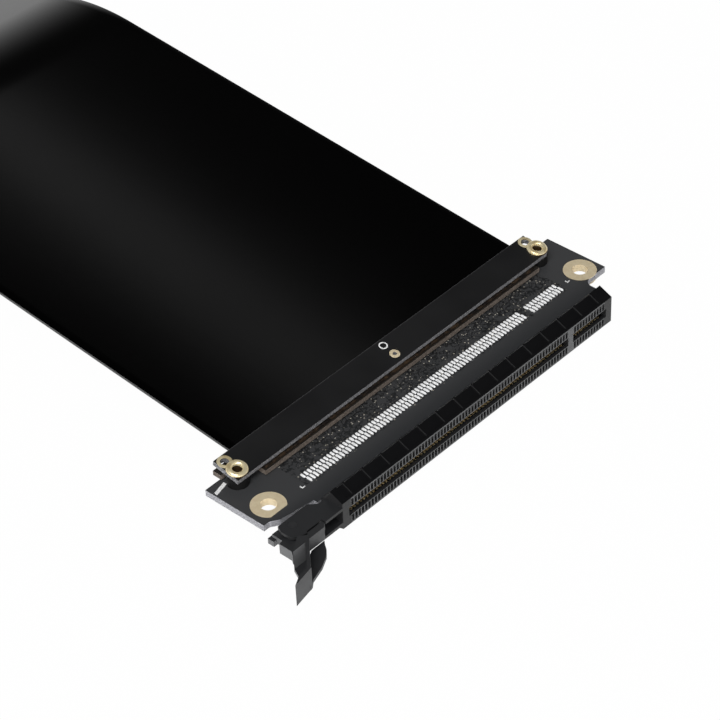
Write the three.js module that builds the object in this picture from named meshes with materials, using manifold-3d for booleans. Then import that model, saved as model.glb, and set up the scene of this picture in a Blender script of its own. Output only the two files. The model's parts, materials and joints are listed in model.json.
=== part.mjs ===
// A ribbon riser cable: a card slot on its board at one end, a wide black ribbon,
// and a plug board at the other. Millimetres, +Z up, +Y from the slot along the ribbon.
import * as THREE from 'three';
import { mergeVertices } from 'three/addons/utils/BufferGeometryUtils.js';
import Module from 'manifold-3d';

const wasm = await Module();
wasm.setup();

// The contact field: pairs of contacts counted from the key's end, with a gap for the card's key.
const contactPitch = 1.0;
const contactCount = 82;
const contactsBeforeKey = 11;
const keyPitch = 3.0;              // from the last contact before the key to the next one
const contactWidth = 0.5;
const contactThickness = 0.3;
const contactFrameOverhang = 0.6;  // of a bank's common frame past its last contact
const upperRunZ = -3.0;
const lowerRunZ = -3.8;

// The slot: heights are measured from the top face of its board.
const boardThickness = 1.6;
const cardPlaneZ = -1.1;
const cardGap = 2.2;
const mouthThickness = 6.8;
const hoodThickness = 9.2;
const hoodRise = 4.95;             // from the card's plane to the hood's highest line
const mouthY = -13.2;
const hoodSlopeDepth = 3.4;        // from the mouth to the hood's highest line
const hoodDepth = 6.0;             // from the mouth to the hood's foot behind it
const hoodFootZ = 0.6;
const slotEndMargin = 3.0;         // from the last contact to the housing's end
const slotEndWall = 1.9;
const chamberReach = 2.75;         // from the card's plane to the chambers' far side
const combThickness = 1.0;
const cellWidth = 0.66;
const cellRail = 0.3;              // between the card gap and the cells
const cellRoof = 0.3;              // between the cells and the chambers' far side
const cardStopDepth = 4.8;         // from the mouth to the stop
const cardStopWall = 0.3;
const bendChannel = 0.65;          // behind the stop, for the upper contacts' bends
const bendChannelTopZ = 0.5;
const stopPassTopZ = 0.85;         // over the stop, for the upper contacts
const lowerPassLead = 1.1;         // how far ahead of the stop the lower contacts' way begins
const keyBridgeWidth = 1.7;
const trayBackY = 2.6;
const trayWall = 0.8;
const trayFloor = 1.1;
const hoodRibCount = 15;
const hoodRibPitch = 5.82;
const hoodRibWidth = 0.4;
const hoodRibHeight = 0.4;
const hoodEndBlock = 3.6;          // each end of the hood stands as high as its ribs
const hoodLip = 0.55;

// The latch beyond the slot's left end: two cheeks on the housing, and a lever between them.
const pivotReach = 10.0;           // from the housing's end to the pivot
const pivotDepth = 4.6;            // from the mouth to the pivot
const cheekSpace = 3.2;
const cheekThickness = 0.7;
const cheekNose = 3.9;             // radius of the cheeks about the pivot
const cheekNoseFlat = 3.1;         // from the pivot to the flat on the nose's left side
const cheekBackDepth = 6.5;        // from the mouth to the cheeks' back edge
const cheekNotchReach = 5.1;       // from the housing's end to the upper cheek's notch
const cheekNotchDepth = 1.1;
const cheekReliefReach = 3.8;      // from the housing's end to the relief in the cheeks' back edge
const cheekReliefDepth = 1.6;
const bracketWallReach = 7.5;
const bracketWallThickness = 0.7;
const trunnionRadius = 0.95;
const trunnionClearance = 0.05;
const leverClearance = 0.3;
const hubRadius = 2.4;
const tabReach = 13.0;             // from the pivot to the tab's tip, both to the left and forward
const tabHeight = 5.7;
const tabFloor = 0.85;             // thickness of the plate under the tab
const webThickness = 0.75;
const hookTopDrop = 0.1;           // from the upper cheek's top to the hook's
const hookHeight = 1.7;
const heelDrop = 0.8;              // from the lever's inner top to the heel's
const spurHeight = 1.4;
const spurDrop = 0.3;              // from the lever's inner underside to the spur's

// The slot's board: its ears reach past the housing's ends and carry the mounting holes.
const boardLeftReach = 13.15;
const boardRightReach = 10.21;
const boardBackY = 13.41;
const boardShoulderY = -3.42;      // front edge of the board's two ears
const boardLatchCornerReach = 11.6;
const boardLatchCornerDrop = 1.3;  // the board's edge steps forward beside the latch
const boardHoodClearance = 0.2;
const noseFillet = 2.0;
const noseRightReach = 2.6;
const noseLeftReach = 1.0;
const mountHoleY = 0.23;
const mountHoleRadius = 1.82;
const mountLeftReach = 7.99;
const mountRightReach = 5.59;
const platingWall = 0.15;
const platingClearance = 0.03;
const platingThickness = 0.1;
const platingRadius = 3.88;
const platingFlatReach = 3.05;     // from the left hole's centre to the flat on its pad
const solderRowY = 0.75;
const solderRowStagger = 0.19;
const solderWidth = 0.56;
const solderRearLength = 1.4;
const solderFrontLength = 1.9;
const solderHeight = 0.3;

// The ribbon reaches past the contact field, and the clamp past the ribbon.
const ribbonLeftReach = 6.2;
const ribbonRightReach = 2.6;
const ribbonThickness = 0.8;
const ribbonStartY = 11.4;
const ribbonStartZ = 2.24;
const padThickness = 0.3;
const padInset = 0.4;
const lowerStripThickness = 1.2;
const lowerStripLeftReach = 5.8;
const lowerStripRightReach = 3.3;
const lowerStripFrontY = 6.7;
const lowerStripBackY = 15.2;
const lowerStripNotchY = 12.8;
const lowerStripNoseLeftInset = 1.3;
const lowerStripNoseRightInset = 0.6;
const coverLeftReach = 5.95;
const coverRightReach = 3.2;
const coverFrontY = 7.5;
const coverDepth = 7.24;
const coverThickness = 1.2;
const coverFrontZ = 3.2;           // top of its front edge
const coverTiltDeg = 11.15;
const plugCoverFrontZ = 3.8;
const eyeletLeftReach = 3.85;
const eyeletRightReach = 2.3;
const eyeletY = 9.8;
const eyeletHeadRadius = 2.45;
const eyeletHeadThickness = 0.7;
const eyeletChamfer = 0.25;
const eyeletBarrelRadius = 1.5;
const eyeletBore = 1.07;
const eyeletFoot = 0.4;
const eyeletClearance = 0.35;
const spacerRadius = 2.45;
const seatGap = 0.1;
const smallHoleRadius = 0.97;
const smallHoleOffsetX = -0.45;    // from the eyelet beside it
const smallHoleY = 12.9;
const middleHoleX = -2.5;
const middleHoleRadius = 0.5;
const conductorCount = 40;
const conductorFrontY = 7.15;
const conductorHeight = 0.36;
const conductorGroove = 0.16;
const conductorInset = 1.9;        // from the ribbon's edges to the outer conductors

// The ribbon's way: it rises at a slight angle, then comes down to the plug on the floor.
const riseDeg = 5.4;
const riseLength = 129.0;
const fallDeg = 20.0;
const crestRadius = 70.0;
const dipRadius = 60.0;
const wayStepDeg = 2.5;
const levelMargin = 1.0;           // of level ribbon outside the plug's clamp

// The plug board.
const plugEyeletMargin = 3.2;      // from the outer eyelet's centre to the board's edge
const plugBodyFront = 4.0;         // beyond the clamp's zero line
const tongueDepth = 8.25;
const tongueMargin = 1.15;
const keyNotchWidth = 1.9;
const tongueChamfer = 0.5;

// What follows from these sizes.
const fieldHalf = ((contactCount - 2) * contactPitch + keyPitch) / 2;
const keyX = fieldHalf - (contactsBeforeKey - 1) * contactPitch - keyPitch / 2;
const slotHalf = fieldHalf + slotEndMargin;
const slotInsideHalf = slotHalf - slotEndWall;
const ribbonLeftX = -fieldHalf - ribbonLeftReach;
const ribbonRightX = fieldHalf + ribbonRightReach;
const ribbonCentreX = (ribbonLeftX + ribbonRightX) / 2;
const eyeletLeftX = ribbonLeftX - eyeletLeftReach;
const eyeletRightX = ribbonRightX + eyeletRightReach;
const plugEyeletLeftX = 2 * ribbonCentreX - eyeletRightX;
const plugEyeletRightX = 2 * ribbonCentreX - eyeletLeftX;
const plugHalfWidth = Math.max(-plugEyeletLeftX, plugEyeletRightX) + plugEyeletMargin;
const mountLeftX = -slotHalf - mountLeftReach;
const mountRightX = slotHalf + mountRightReach;
const boardLeftX = -slotHalf - boardLeftReach;
const boardRightX = slotHalf + boardRightReach;
const pivotX = -slotHalf - pivotReach;
const gapTopZ = cardPlaneZ + cardGap / 2;
const gapBottomZ = cardPlaneZ - cardGap / 2;
const chamberTopZ = cardPlaneZ + chamberReach;
const chamberBottomZ = cardPlaneZ - chamberReach;
const mouthTopZ = cardPlaneZ + mouthThickness / 2;
const hoodTopZ = cardPlaneZ + hoodRise;
const floorZ = cardPlaneZ - hoodThickness / 2;
const crestY = mouthY + hoodSlopeDepth;
const hoodBackY = mouthY + hoodDepth;
const pivotY = mouthY + pivotDepth;
const cheekBackY = mouthY + cheekBackDepth;
const stopY = mouthY + cardStopDepth;
const channelY = stopY + cardStopWall;
const channelMidY = channelY + bendChannel / 2;
const restFaceY = (crestY + trayBackY) / 2;
const boardUnderZ = -boardThickness;
const trayFloorZ = floorZ + trayFloor;
const boardNoseY = hoodBackY + boardHoodClearance;
const lowerStripTopZ = padThickness + lowerStripThickness;
const trunnionReach = cheekSpace / 2 + cheekThickness;
const leverHalf = cheekSpace / 2 - leverClearance;
const leverTopZ = cardPlaneZ + leverHalf;
const leverBottomZ = cardPlaneZ - leverHalf;
const tabTopZ = cardPlaneZ + tabHeight / 2;
const tabBottomZ = cardPlaneZ - tabHeight / 2;
const plugTopZ = floorZ + eyeletFoot + boardThickness;
const plugRibbonZ = lowerStripTopZ + seatGap + ribbonThickness / 2;

const looks = {
  board: { color: 0x2b2d2f, roughness: 0.42, metalness: 0.0 },
  housing: { color: 0x141415, roughness: 0.38, metalness: 0.0 },
  contact: { color: 0xc9a24a, roughness: 0.3, metalness: 1.0 },
  plating: { color: 0xe3cf9c, roughness: 0.35, metalness: 1.0 },
  brass: { color: 0xb9a678, roughness: 0.3, metalness: 1.0 },
  spacer: { color: 0x0d0d0e, roughness: 0.5, metalness: 0.0 },
  pad: { color: 0x101010, roughness: 0.8, metalness: 0.0 },
  copper: { color: 0x4a2d1c, roughness: 0.45, metalness: 0.6 },
  ribbon: { color: 0x050506, roughness: 0.28, metalness: 0.0 },
};

function contactX(index) {
  const pastKey = index >= contactsBeforeKey ? keyPitch - contactPitch : 0;
  return fieldHalf - index * contactPitch - pastKey;
}

const contactXs = Array.from({ length: contactCount }, (_, index) => contactX(index));

function toSolid(geometry) {
  const bare = geometry.clone();
  bare.deleteAttribute('normal');
  bare.deleteAttribute('uv');
  const merged = mergeVertices(bare, 1e-5);
  return new wasm.Manifold(new wasm.Mesh({
    numProp: 3,
    vertProperties: Float32Array.from(merged.attributes.position.array),
    triVerts: Uint32Array.from(merged.index.array),
  }));
}

function toGeometry(solid) {
  const mesh = solid.getMesh();
  const geometry = new THREE.BufferGeometry();
  geometry.setAttribute('position', new THREE.BufferAttribute(Float32Array.from(mesh.vertProperties), 3));
  geometry.setIndex(new THREE.BufferAttribute(Uint32Array.from(mesh.triVerts), 1));
  geometry.computeVertexNormals();
  return geometry;
}

function joined(solids) {
  return solids.reduce((sum, solid) => sum.add(solid));
}

function shapeOf(points) {
  return new THREE.Shape(points.map(([a, b]) => new THREE.Vector2(a, b)));
}

function boxGeometry(x0, x1, y0, y1, z0, z1) {
  const geometry = new THREE.BoxGeometry(x1 - x0, y1 - y0, z1 - z0);
  return geometry.translate((x0 + x1) / 2, (y0 + y1) / 2, (z0 + z1) / 2);
}

// A box between two values on each axis.
function box(...sides) {
  return toSolid(boxGeometry(...sides));
}

// A plan outline in X and Y, raised from z0 to z1.
function raised(outline, z0, z1) {
  const shape = Array.isArray(outline) ? shapeOf(outline) : outline;
  const geometry = new THREE.ExtrudeGeometry(shape, { depth: z1 - z0, bevelEnabled: false, curveSegments: 8 });
  return toSolid(geometry.translate(0, 0, z0));
}

// A section in Y and Z, run from x0 to x1.
function alongX(points, x0, x1) {
  const geometry = new THREE.ExtrudeGeometry(shapeOf(points), { depth: x1 - x0, bevelEnabled: false });
  const axes = new THREE.Matrix4().makeBasis(
    new THREE.Vector3(0, 1, 0), new THREE.Vector3(0, 0, 1), new THREE.Vector3(1, 0, 0));
  return toSolid(geometry.applyMatrix4(axes).translate(x0, 0, 0));
}

// A section in X and Z, run from y0 to y1.
function alongY(points, y0, y1) {
  const geometry = new THREE.ExtrudeGeometry(shapeOf(points), { depth: y1 - y0, bevelEnabled: false });
  const axes = new THREE.Matrix4().makeBasis(
    new THREE.Vector3(1, 0, 0), new THREE.Vector3(0, 0, 1), new THREE.Vector3(0, -1, 0));
  return toSolid(geometry.applyMatrix4(axes).translate(0, y1, 0));
}

// A turned geometry about the Z axis: the profile holds radius and height, upwards on its outer side.
function turnedGeometry(profile, segments = 20) {
  const points = [...profile, profile[0]].map(([r, z]) => new THREE.Vector2(r, z));
  return new THREE.LatheGeometry(points, segments).rotateX(Math.PI / 2);
}

function post(radius, z0, z1, x, y, segments = 20) {
  const geometry = new THREE.CylinderGeometry(radius, radius, z1 - z0, segments).rotateX(Math.PI / 2);
  return toSolid(geometry.translate(x, y, (z0 + z1) / 2));
}

function unit([a, b], [c, d]) {
  const length = Math.hypot(c - a, d - b);
  return [(c - a) / length, (d - b) / length];
}

// The outline of a bent strip of even thickness along a polyline, with mitred corners.
function bentStrip(points, thickness) {
  const side = (sign) => points.map((point, i) => {
    const here = i > 0 ? unit(points[i - 1], point) : unit(point, points[1]);
    const next = i < points.length - 1 ? unit(point, points[i + 1]) : here;
    const across = [-(here[1] + next[1]) / 2, (here[0] + next[0]) / 2];
    const reach = sign * thickness / 2 / (across[0] ** 2 + across[1] ** 2);
    return [point[0] + across[0] * reach, point[1] + across[1] * reach];
  });
  return [...side(-1), ...side(1).reverse()];
}

function piece(name, solid, look) {
  const mesh = new THREE.Mesh(toGeometry(solid), new THREE.MeshStandardMaterial(look));
  mesh.name = name;
  return mesh;
}

// The housing's outer section: the mouth, the sloped hood and the tray under the board.
function housingShell() {
  return alongX([
    [mouthY, cardPlaneZ - mouthThickness / 2], [crestY, floorZ], [trayBackY, floorZ],
    [trayBackY, boardUnderZ], [hoodBackY, boardUnderZ], [hoodBackY, hoodFootZ],
    [crestY, hoodTopZ - hoodRibHeight], [mouthY, mouthTopZ - hoodRibHeight],
  ], -slotHalf, slotHalf);
}

// What stands proud of the hood's panels: the section of a rib, from the mouth to the crest.
function hoodRidge(x0, x1, backY = crestY) {
  const rise = (hoodTopZ - mouthTopZ) / hoodSlopeDepth;
  const backZ = mouthTopZ + (backY - mouthY) * rise;
  const root = hoodRibHeight * 2;
  return alongX([
    [mouthY, mouthTopZ - root], [backY, backZ - root], [backY, backZ], [mouthY, mouthTopZ],
  ], x0, x1);
}

function housingRidges() {
  const lip = hoodRidge(-slotHalf, slotHalf, mouthY + hoodLip);
  const ribs = Array.from({ length: hoodRibCount }, (_, k) => {
    const x = slotHalf - hoodEndBlock - k * hoodRibPitch;
    return hoodRidge(x - hoodRibWidth / 2, x + hoodRibWidth / 2);
  });
  const ends = [hoodRidge(-slotHalf, -slotHalf + hoodEndBlock / 2), hoodRidge(slotHalf - hoodEndBlock, slotHalf)];
  return joined([lip, ...ribs, ...ends]);
}

// The room inside the housing: card gap, contact chambers, and the way of the tails.
function housingHollow() {
  const half = slotInsideHalf;
  const chamberFrontY = mouthY + combThickness;
  const trayInsideY = trayBackY - trayWall;
  return joined([
    box(-half, half, mouthY - 1, stopY, gapBottomZ, gapTopZ),
    box(-half, half, chamberFrontY, stopY, chamberBottomZ, chamberTopZ),
    box(-half, half, stopY - seatGap, channelMidY, gapTopZ, stopPassTopZ),
    box(-half, half, channelY, channelY + bendChannel, trayFloorZ, bendChannelTopZ),
    box(-half, half, stopY - lowerPassLead, trayInsideY, trayFloorZ, gapBottomZ),
    box(-half, half, channelY, hoodBackY + seatGap, trayFloorZ, boardUnderZ),
    box(-half, half, hoodBackY, trayInsideY, trayFloorZ, boardUnderZ + 1),
  ]);
}

// One cell for each contact above and below the card gap, open to the chamber behind.
function combCells() {
  const cell = (x, z0, z1) => box(x - cellWidth / 2, x + cellWidth / 2, mouthY - 1, mouthY + combThickness + seatGap, z0, z1);
  return joined(contactXs.flatMap((x) => [
    cell(x, gapTopZ + cellRail, chamberTopZ - cellRoof),
    cell(x, chamberBottomZ + cellRoof, gapBottomZ - cellRail),
  ]));
}

function keyBridge() {
  return box(keyX - keyBridgeWidth / 2, keyX + keyBridgeWidth / 2, mouthY, stopY + cardStopWall,
    chamberBottomZ - seatGap, chamberTopZ + seatGap);
}

// A cheek's outline: a round nose about the pivot, and on the upper cheek a notch for the hook.
function cheekOutline(rootX, notched) {
  const outline = new THREE.Shape();
  const noseFront = pivotY - Math.sqrt(cheekNose ** 2 - leverClearance ** 2);
  const flatY = pivotY - Math.sqrt(cheekNose ** 2 - cheekNoseFlat ** 2);
  outline.moveTo(rootX, mouthY);
  if (notched) {
    const notchX = -slotHalf - cheekNotchReach;
    outline.lineTo(notchX, mouthY);
    outline.lineTo(notchX, mouthY + cheekNotchDepth);
    outline.lineTo(pivotX + leverClearance, mouthY + cheekNotchDepth);
  } else {
    outline.lineTo(pivotX + leverClearance * 3, mouthY);
  }
  const startAngle = Math.atan2(noseFront - pivotY, leverClearance);
  const endAngle = Math.atan2(flatY - pivotY, -cheekNoseFlat);
  outline.absarc(pivotX, pivotY, cheekNose, startAngle, endAngle, true);
  outline.lineTo(pivotX - cheekNoseFlat, pivotY + leverClearance);
  outline.lineTo(pivotX - hubRadius, cheekBackY);
  outline.lineTo(-slotHalf - cheekReliefReach, cheekBackY);
  outline.lineTo(-slotHalf - cheekReliefReach + cheekReliefDepth, cheekBackY - cheekReliefDepth);
  outline.lineTo(rootX, cheekBackY - cheekReliefDepth);
  return outline;
}

// The latch bracket on the housing's left end: two cheeks, and a wall behind.
function latchBracket() {
  const rootX = -slotHalf + slotEndWall / 4;
  const top = cardPlaneZ + trunnionReach;
  const bottom = cardPlaneZ - trunnionReach;
  const wallX = -slotHalf - bracketWallReach;
  const wallFrontY = cheekBackY - bracketWallThickness;
  return joined([
    raised(cheekOutline(rootX, true), top - cheekThickness, top),
    raised(cheekOutline(rootX, false), bottom, bottom + cheekThickness),
    box(wallX, -slotHalf - cheekReliefReach, wallFrontY, cheekBackY, bottom, top),
    box(wallX, rootX, wallFrontY, cheekBackY, bottom, boardUnderZ - seatGap),
  ]).subtract(post(trunnionRadius + trunnionClearance, bottom - 1, top + 1, pivotX, pivotY));
}

function slotHousing() {
  return housingShell().add(housingRidges()).subtract(housingHollow()).subtract(combCells())
    .add(keyBridge()).add(latchBracket());
}

// A bank of contacts: bent springs side by side on the common frame that their tails start from.
function contactBank(spring, frame) {
  const outline = bentStrip(spring, contactThickness);
  const springs = contactXs.map((x) => alongX(outline, x - contactWidth / 2, x + contactWidth / 2));
  const reach = fieldHalf + contactFrameOverhang;
  return alongX(bentStrip(frame, contactThickness), -reach, reach).add(joined(springs));
}

const contactTipY = mouthY + combThickness + 0.35;
const contactBowY = contactTipY + 1.95;
const tipInset = 0.25;             // from the card gap to a contact's tip
const bowInset = 0.4;              // from the chamber's far side to a contact's bow

function upperContacts() {
  const rootZ = gapTopZ + tipInset / 2;
  return contactBank([
    [contactTipY, gapTopZ + tipInset], [contactBowY, chamberTopZ - bowInset], [channelMidY, rootZ],
  ], [
    [channelMidY, rootZ], [channelMidY, upperRunZ], [-solderRowY, upperRunZ], [-solderRowY, boardUnderZ],
  ]);
}

function lowerContacts() {
  return contactBank([
    [contactTipY, gapBottomZ - tipInset], [contactBowY, chamberBottomZ + bowInset], [channelMidY, lowerRunZ],
  ], [
    [channelMidY, lowerRunZ], [solderRowY, lowerRunZ], [solderRowY, boardUnderZ],
  ]);
}

// A plan outline on the lever: each point is given as a share of the tab's reach from the pivot.
function leverOutline(shares, z0, z1) {
  return raised(shares.map(([a, b]) => [pivotX + a * tabReach, pivotY + b * tabReach]), z0, z1);
}

// The tab's upright web stands along the line between two such points, to its left.
function tabWeb([startA, startB], [endA, endB]) {
  const [alongA, alongB] = unit([startA, startB], [endA, endB]);
  const a = -alongB * webThickness / tabReach;
  const b = alongA * webThickness / tabReach;
  return leverOutline([[startA, startB], [endA, endB], [endA + a, endB + b], [startA + a, startB + b]],
    tabBottomZ, tabTopZ);
}

// The lever: a hub between the cheeks, a hook in the upper cheek's notch, and a thumb tab outside.
function latchLever() {
  const hookTopZ = cardPlaneZ + trunnionReach - hookTopDrop;
  const heelTopZ = leverTopZ - heelDrop;
  const spurBottomZ = leverBottomZ - spurDrop;
  const webRoot = [-0.05, -0.4];
  const webEnd = [-0.55, -0.9];
  const webFoot = [-0.6, -0.93];
  const tip = [-0.996, -1];
  const tipRoot = [-0.546, -0.915];
  return joined([
    post(hubRadius, leverBottomZ, leverTopZ, pivotX, pivotY),
    post(trunnionRadius, cardPlaneZ - trunnionReach, cardPlaneZ + trunnionReach, pivotX, pivotY),
    leverOutline([[-0.154, -0.046], [-0.4, -0.085], [-0.4, -0.346], [-0.45, -0.42], [-0.07, -0.415], [0.04, -0.16]],
      leverBottomZ, leverTopZ),
    leverOutline([[0.02, -0.16], [0.13, -0.16], [0.34, -0.3], [0.34, -0.36], [0.27, -0.41], [-0.08, -0.41]],
      leverBottomZ, leverTopZ),
    leverOutline([[0.02, -0.3], [0.35, -0.3], [0.35, -0.36], [0.27, -0.415], [-0.08, -0.415], [-0.08, -0.38]],
      hookTopZ - hookHeight, hookTopZ),
    leverOutline([[-0.27, -0.02], [-0.08, -0.02], [-0.08, 0.2], [-0.27, 0.2]], leverBottomZ, heelTopZ),
    leverOutline([[-0.338, 0.1], [-0.22, 0.1], [-0.22, 0.23], [-0.338, 0.23]], spurBottomZ, spurBottomZ + spurHeight),
    leverOutline([[-0.185, -0.27], [-0.477, -0.462], [-0.12, -0.462], webRoot, [-0.05, -0.375]], tabBottomZ, tabTopZ),
    leverOutline([[0, -0.38], [0.3, -0.38], [0.24, -0.446], [0.177, -0.538], [0.07, -0.638], [-0.154, -0.754],
      [-0.454, -0.846], tipRoot, webFoot, [-0.7, -0.92], [-0.546, -0.615], [-0.477, -0.47], [-0.12, -0.45]],
      tabBottomZ, tabBottomZ + tabFloor),
    tabWeb(webEnd, webRoot),
    leverOutline([tip, tipRoot, [-0.56, -0.86], [-0.808, -0.897]], tabBottomZ, tabTopZ),
  ]);
}

// Solder joints: each rises to a point over its land.
function solderRow(y, length, stagger) {
  return contactXs.map((x) => {
    const joint = new THREE.ConeGeometry(Math.SQRT1_2, 2 * solderHeight, 4, 1).rotateX(Math.PI / 2);
    joint.rotateZ(Math.PI / 4).scale(solderWidth * 2, length * 2, 1);
    return toSolid(joint.translate(x + stagger, y, 0));
  });
}

function slotBoard() {
  const noseRightX = slotHalf + noseRightReach;
  const noseLeftX = -slotHalf - noseLeftReach;
  const outline = new THREE.Shape();
  outline.moveTo(boardLeftX, boardBackY);
  outline.lineTo(boardRightX, boardBackY);
  outline.lineTo(boardRightX, boardShoulderY);
  outline.absarc(noseRightX + noseFillet, boardShoulderY - noseFillet, noseFillet, Math.PI / 2, Math.PI, false);
  outline.lineTo(noseRightX, boardNoseY);
  outline.lineTo(noseLeftX, boardNoseY);
  outline.lineTo(noseLeftX, boardNoseY + noseLeftReach);
  outline.lineTo(-slotHalf - boardLatchCornerReach + noseFillet, boardShoulderY - boardLatchCornerDrop);
  outline.lineTo(-slotHalf - boardLatchCornerReach, boardShoulderY);
  outline.lineTo(boardLeftX, boardShoulderY);
  const plate = raised(outline, boardUnderZ, 0);
  const solder = [
    ...solderRow(solderRowY, solderRearLength, 0),
    ...solderRow(-solderRowY, solderFrontLength, solderRowStagger),
  ];
  const platedHole = mountHoleRadius + platingWall + platingClearance;
  return plate.add(joined(solder))
    .subtract(post(platedHole, boardUnderZ - 1, 1, mountLeftX, mountHoleY))
    .subtract(post(platedHole, boardUnderZ - 1, 1, mountRightX, mountHoleY))
    .subtract(eyeletHole(eyeletLeftX, boardUnderZ - 1, 1))
    .subtract(eyeletHole(eyeletRightX, boardUnderZ - 1, 1));
}

function eyeletHole(x, z0, z1) {
  return post(eyeletBarrelRadius + eyeletClearance, z0, z1, x, eyeletY);
}

// A plated mounting hole: the barrel with its pad on each face of the board.
function mountPlating(x, flat) {
  const under = boardUnderZ - platingThickness;
  const barrel = mountHoleRadius + platingWall;
  const ring = toSolid(turnedGeometry([
    [mountHoleRadius, under], [platingRadius, under], [platingRadius, boardUnderZ], [barrel, boardUnderZ],
    [barrel, 0], [platingRadius, 0], [platingRadius, platingThickness], [mountHoleRadius, platingThickness],
  ], 32).translate(x, mountHoleY, 0));
  if (!flat) return ring;
  const reach = platingRadius + 1;
  return ring.subtract(box(x - reach, x + reach, mountHoleY - reach, mountHoleY - platingFlatReach, under - 1, 1));
}

// The lower strip's outline keeps clear of the two spacers; the pad under it is a little smaller.
function lowerStripOutline(inset) {
  const left = ribbonLeftX - lowerStripLeftReach + inset;
  const right = ribbonRightX + lowerStripRightReach - inset;
  const noseLeft = ribbonLeftX + lowerStripNoseLeftInset + inset;
  const noseRight = ribbonRightX - lowerStripNoseRightInset - inset;
  const front = lowerStripFrontY + inset;
  const back = lowerStripBackY - inset;
  const notch = lowerStripNotchY + inset;
  return [
    [noseLeft, front], [noseRight, front], [noseRight, notch], [right, notch],
    [right, back], [left, back], [left, notch], [noseLeft, notch],
  ];
}

// The ribbon's bare conductors: a ridged row that runs on from the ribbon's end.
function conductorRow() {
  const left = ribbonLeftX + conductorInset;
  const pitch = (ribbonRightX - ribbonLeftX - 2 * conductorInset) / conductorCount;
  const bottom = lowerStripTopZ;
  const ridges = Array.from({ length: conductorCount }, (_, k) => [
    [left + (k + 0.2) * pitch, bottom + conductorHeight], [left + (k + 0.8) * pitch, bottom + conductorHeight],
    [left + (k + 1) * pitch, bottom + conductorHeight - conductorGroove],
  ]).flat();
  const section = [[left, bottom], [left, bottom + conductorHeight - conductorGroove], ...ridges,
    [left + conductorCount * pitch, bottom]];
  return alongY(section, conductorFrontY, ribbonStartY - seatGap);
}

// The cover strip in its own frame: its top front edge is the line that it tilts about.
function coverStrip(tilt) {
  const along = (y) => (y - coverFrontY - coverThickness / 2 * Math.sin(tilt)) / Math.cos(tilt);
  const cut = (radius, x, y) => post(radius, -coverThickness - 1, 1, x, along(y), 16);
  return box(ribbonLeftX - coverLeftReach, ribbonRightX + coverRightReach, 0, coverDepth, -coverThickness, 0)
    .subtract(cut(eyeletBarrelRadius + eyeletClearance, eyeletLeftX, eyeletY))
    .subtract(cut(eyeletBarrelRadius + eyeletClearance, eyeletRightX, eyeletY))
    .subtract(cut(smallHoleRadius, eyeletLeftX + smallHoleOffsetX, smallHoleY))
    .subtract(cut(smallHoleRadius, eyeletRightX + smallHoleOffsetX, smallHoleY))
    .subtract(cut(middleHoleRadius, middleHoleX, eyeletY));
}

// A spacer stands on the board and is cut to the cover strip's slope.
function spacer(x, tilt, coverZ) {
  const sky = boxGeometry(x - 10, x + 10, -20, 20, -coverThickness - seatGap, 20)
    .rotateX(tilt).translate(0, coverFrontY, coverZ);
  return post(spacerRadius, 0, coverZ + 2, x, eyeletY)
    .subtract(toSolid(sky)).subtract(eyeletHole(x, -1, coverZ + 3));
}

// A brass eyelet: its head lies on the cover strip, and its foot is rolled under the board.
function eyelet(x, tilt, coverZ) {
  const seatZ = coverZ + (eyeletY - coverFrontY) * Math.tan(tilt) + seatGap;
  const rim = eyeletHeadRadius - eyeletChamfer;
  const head = turnedGeometry([
    [0.5, 0], [eyeletHeadRadius, 0], [eyeletHeadRadius, eyeletHeadThickness - eyeletChamfer],
    [rim, eyeletHeadThickness], [eyeletBore + eyeletChamfer, eyeletHeadThickness],
    [eyeletBore, eyeletHeadThickness - eyeletChamfer], [0.5, eyeletHeadThickness - eyeletChamfer],
  ]).rotateX(tilt).translate(x, eyeletY, seatZ);
  const footZ = boardUnderZ - eyeletFoot;
  return toSolid(head)
    .add(post(eyeletBarrelRadius, footZ, seatZ + eyeletHeadThickness / 2, x, eyeletY))
    .add(post(eyeletHeadRadius, footZ, boardUnderZ, x, eyeletY))
    .subtract(post(eyeletBore, footZ - 1, seatZ + 3, x, eyeletY));
}

// The clamp on one board: pad, lower strip, bare conductors, cover strip, spacers and eyelets.
function clamp(end, tiltDeg, coverZ) {
  const tilt = THREE.MathUtils.degToRad(tiltDeg);
  const group = new THREE.Group();
  const cover = piece(`${end}_cover_strip`, coverStrip(tilt), looks.board);
  cover.position.set(0, coverFrontY, coverZ);
  cover.rotation.x = tilt;
  group.add(
    piece(`${end}_insulating_pad`, raised(lowerStripOutline(padInset), 0, padThickness), looks.pad),
    piece(`${end}_lower_strip`, raised(lowerStripOutline(0), padThickness, lowerStripTopZ), looks.board),
    piece(`${end}_conductors`, conductorRow(), looks.copper),
    cover,
  );
  for (const [side, x] of [['left', eyeletLeftX], ['right', eyeletRightX]]) {
    group.add(
      piece(`${end}_${side}_spacer`, spacer(x, tilt, coverZ), looks.spacer),
      piece(`${end}_${side}_eyelet`, eyelet(x, tilt, coverZ), looks.brass),
    );
  }
  return group;
}

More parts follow.
